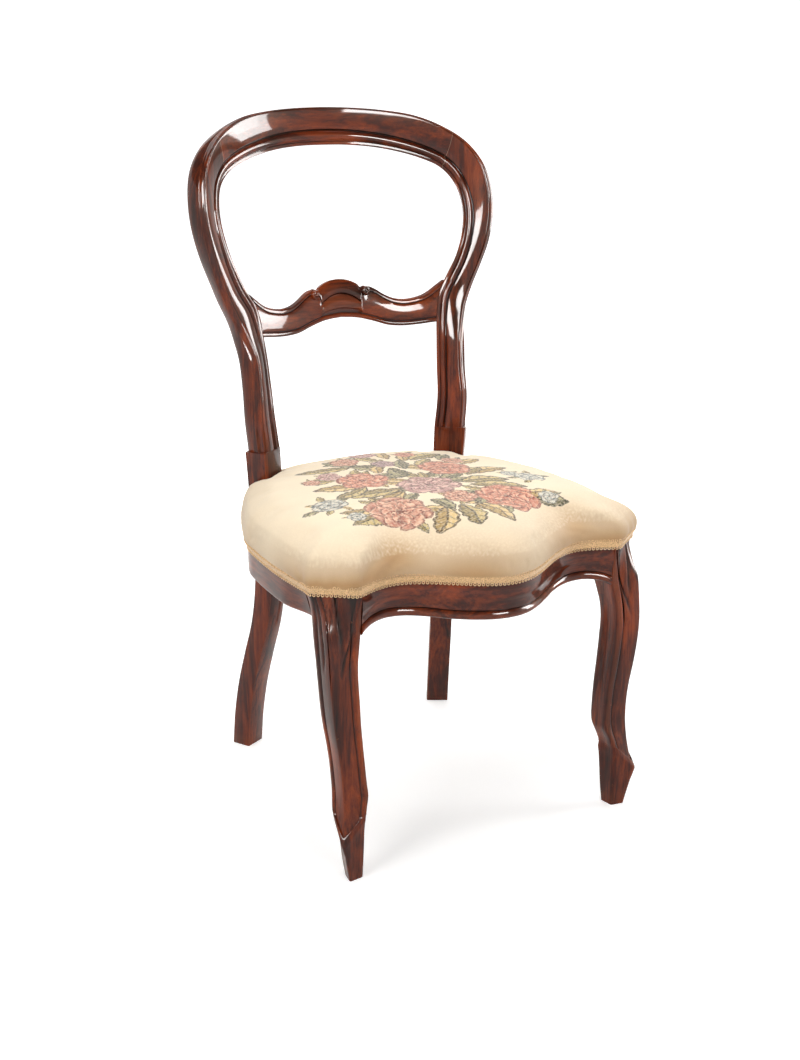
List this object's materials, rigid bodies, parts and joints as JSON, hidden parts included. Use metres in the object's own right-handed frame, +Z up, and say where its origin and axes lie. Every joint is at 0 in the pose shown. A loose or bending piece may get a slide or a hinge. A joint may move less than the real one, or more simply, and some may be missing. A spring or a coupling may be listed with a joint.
{
  "type": "balloon back side chair",
  "caption": "Side chair with a moulded balloon-shaped back, a scrolled cross rail, cabriole front legs and a stuff-over seat with a floral needlework cover.",
  "frame": {"origin": "middle of the chair's footprint box, on the floor", "axes": "+X to the right as seen from the front, +Y towards the back, +Z up"},
  "size_m": [0.4872, 0.5452, 0.8982],
  "materials": {
    "show_wood": "polished mahogany, dark red-brown",
    "frame_wood": "plain beech",
    "screw_steel": "plain steel",
    "webbing": "woven jute",
    "hessian": "coarse hessian",
    "stuffing": "curled hair",
    "tapestry": "cream wool needlework with a floral bouquet",
    "gimp": "golden beige braid"
  },
  "bodies": {
    "root": {"rear_post_right": "show_wood", "rear_post_left": "show_wood", "crest_rail": "show_wood", "cross_rail": "show_wood", "crest_dowel_right": "frame_wood", "crest_dowel_left": "frame_wood", "front_leg_right": "show_wood", "front_leg_left": "show_wood", "front_rail": "show_wood", "side_rail_right": "show_wood", "side_rail_left": "show_wood", "rear_rail": "show_wood", "corner_block_front_right": "frame_wood", "corner_block_front_left": "frame_wood", "corner_block_rear_right": "frame_wood", "corner_block_rear_left": "frame_wood", "corner_screw_front_a_right": "screw_steel", "corner_screw_front_a_left": "screw_steel", "corner_screw_front_b_right": "screw_steel", "corner_screw_front_b_left": "screw_steel", "corner_screw_rear_a_right": "screw_steel", "corner_screw_rear_a_left": "screw_steel", "corner_screw_rear_b_right": "screw_steel", "corner_screw_rear_b_left": "screw_steel", "web_front_back_1": "webbing", "web_front_back_2": "webbing", "web_front_back_3": "webbing", "web_across_1": "webbing", "web_across_2": "webbing", "web_across_3": "webbing", "hessian": "hessian", "stuffing": "stuffing", "seat_cover": "tapestry", "gimp_front": "gimp", "gimp_rear": "gimp"}
  },
  "joints": []
}
